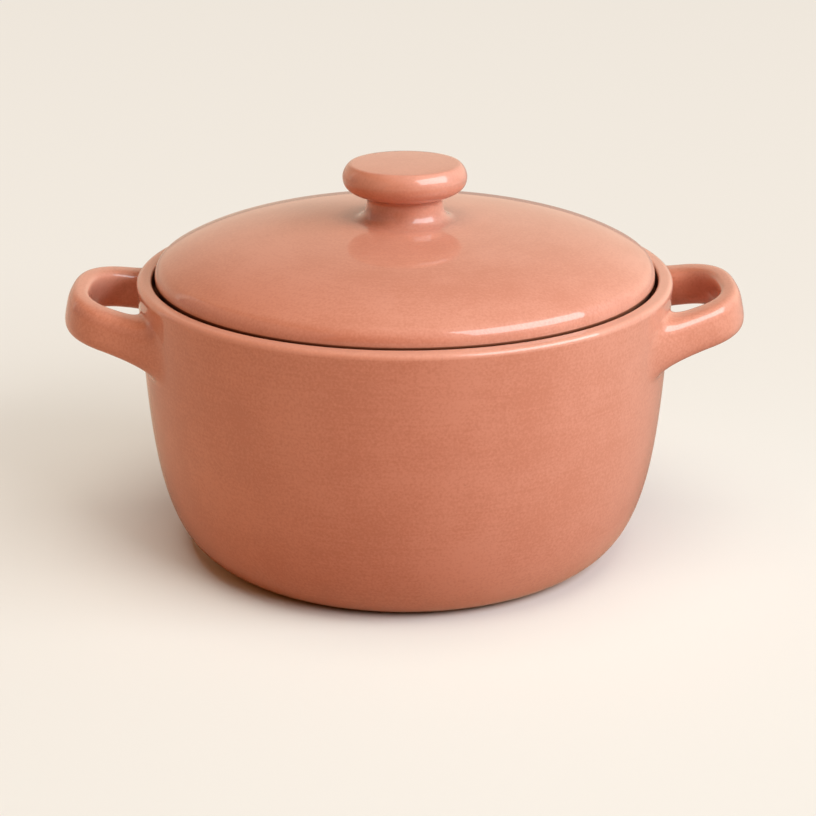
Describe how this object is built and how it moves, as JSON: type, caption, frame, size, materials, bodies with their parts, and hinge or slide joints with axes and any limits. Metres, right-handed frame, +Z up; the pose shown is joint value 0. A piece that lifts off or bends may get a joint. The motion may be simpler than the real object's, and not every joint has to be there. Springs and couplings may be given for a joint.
{
  "type": "lidded casserole",
  "caption": "Round glazed stoneware casserole with a tapering wall, loop side handles luted to it, and a low domed lid with a turned knob that drops onto a ledge inside the rim.",
  "frame": {"origin": "middle of the foot ring, on the surface that the pot stands on", "axes": "+Z up along the turning axis, +X towards the right-hand handle, +Y away from the viewer"},
  "size_m": [0.3046, 0.2398, 0.1761],
  "materials": {
    "pot_glaze": "glossy terracotta-pink glaze with fine speckles, bare clay on the foot ring",
    "lid_glaze": "the same glossy glaze, slightly paler, bare clay on the seat under the lid"
  },
  "bodies": {
    "pot": {"pot_body": "pot_glaze", "handle_left": "pot_glaze", "handle_right": "pot_glaze"},
    "lid_unit": {"lid": "lid_glaze", "lid_knob": "lid_glaze"}
  },
  "joints": [
    {"name": "lid_lift", "type": "slide", "parent": "pot", "child": "lid_unit", "axis": [0, 0, 1], "range_m": [0, 0.15]}
  ]
}
